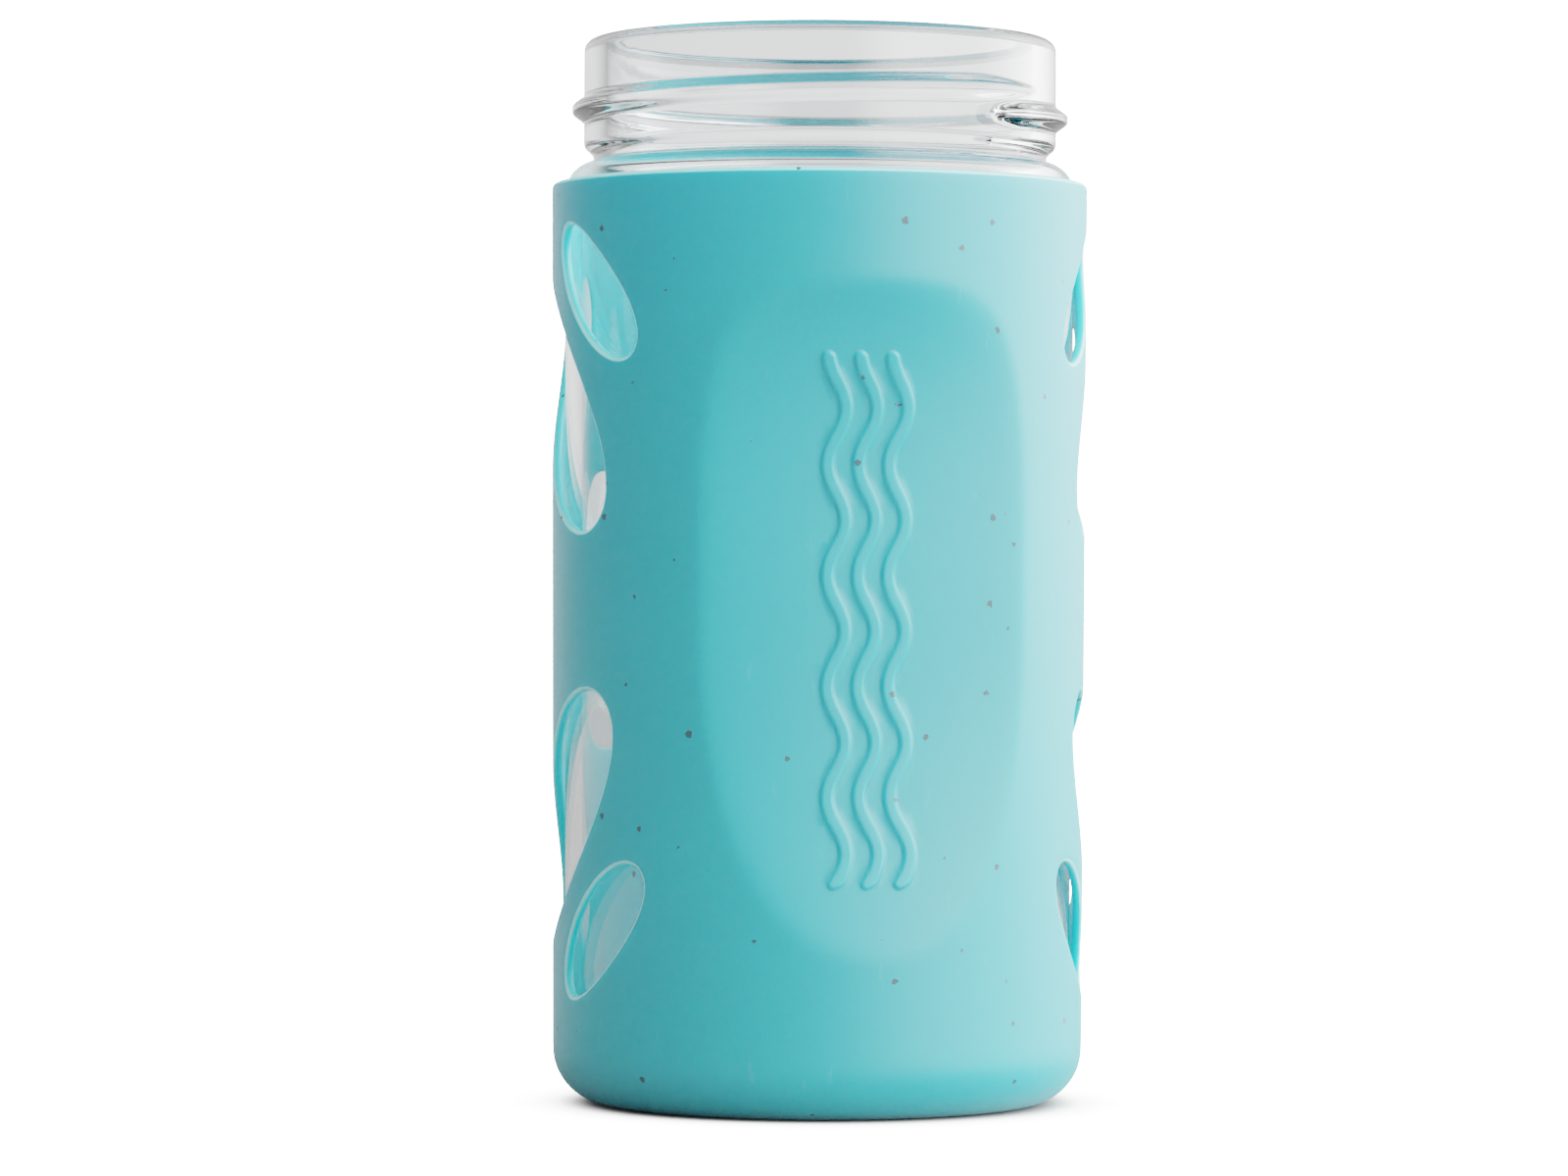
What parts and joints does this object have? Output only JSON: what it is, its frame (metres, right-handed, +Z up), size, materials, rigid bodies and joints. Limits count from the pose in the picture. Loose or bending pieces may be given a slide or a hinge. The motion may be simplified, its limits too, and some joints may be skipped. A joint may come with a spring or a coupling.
{
  "type": "glass water bottle",
  "caption": "Open wide-neck glass drinking bottle with an external screw thread, in a soft silicone sleeve with slanted leaf windows. An oval grip flat dents both at the front.",
  "frame": {"origin": "centre of the sleeve's foot, on the surface that the bottle stands on", "axes": "+Z up along the bottle's axis, -Y towards the oval front panel, +X to the right of a person who faces the panel"},
  "size_m": [0.0682, 0.0682, 0.1352],
  "materials": {
    "clear_glass": "clear soda-lime glass, fire-polished",
    "teal_silicone": "matt moulded silicone"
  },
  "bodies": {
    "sleeve": {"silicone_sleeve": "teal_silicone"},
    "bottle": {"glass_bottle": "clear_glass"}
  },
  "joints": [
    {"name": "bottle_lift", "type": "slide", "parent": "sleeve", "child": "bottle", "axis": [0, 0, 1], "range_m": [0, 0.125], "deforming": ["silicone_sleeve"]}
  ]
}
